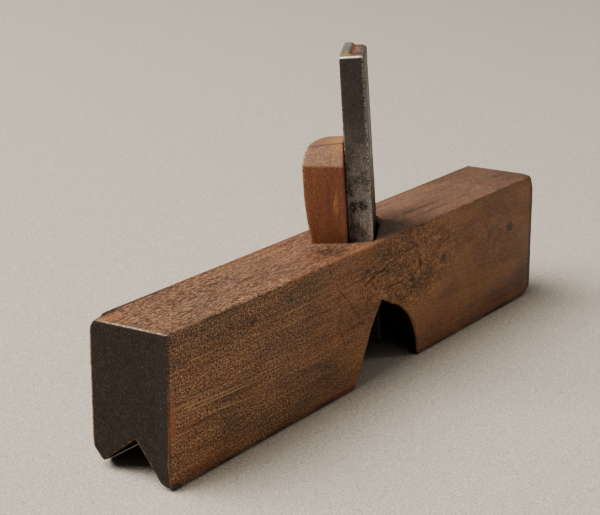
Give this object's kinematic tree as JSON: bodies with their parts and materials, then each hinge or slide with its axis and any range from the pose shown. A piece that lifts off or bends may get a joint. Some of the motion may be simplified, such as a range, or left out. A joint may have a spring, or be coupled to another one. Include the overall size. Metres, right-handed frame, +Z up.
{
  "type": "spill plane",
  "caption": "Small wooden hand plane with a grooved sole, a side throat and a skewed upright iron held by a wedge; it shaves tightly curled spills off a board's edge.",
  "frame": {"origin": "bottom centre of the wooden stock, level with the flat foot beside the groove", "axes": "+X along the stock toward the toe, -Y toward the side with the throat, +Z up toward the head of the iron"},
  "size_m": [0.2414, 0.0296, 0.114],
  "materials": {
    "stock_wood": "old oiled beech, brown and darkened, worn edges",
    "wedge_wood": "warm oiled fruitwood, lighter where cut across the grain",
    "iron_steel": "dark, pitted tool steel with rust on the head"
  },
  "bodies": {
    "stock": {"stock": "stock_wood"},
    "iron": {"iron": "iron_steel"},
    "wedge": {"wedge": "wedge_wood"}
  },
  "joints": [
    {"name": "iron_slide", "type": "slide", "parent": "stock", "child": "iron", "axis": [-0.0296, 0.0554, 0.998], "range_m": [-0.001, 0.085]},
    {"name": "wedge_slide", "type": "slide", "parent": "stock", "child": "wedge", "axis": [-0.0296, 0.0554, 0.998], "range_m": [0, 0.095]}
  ]
}
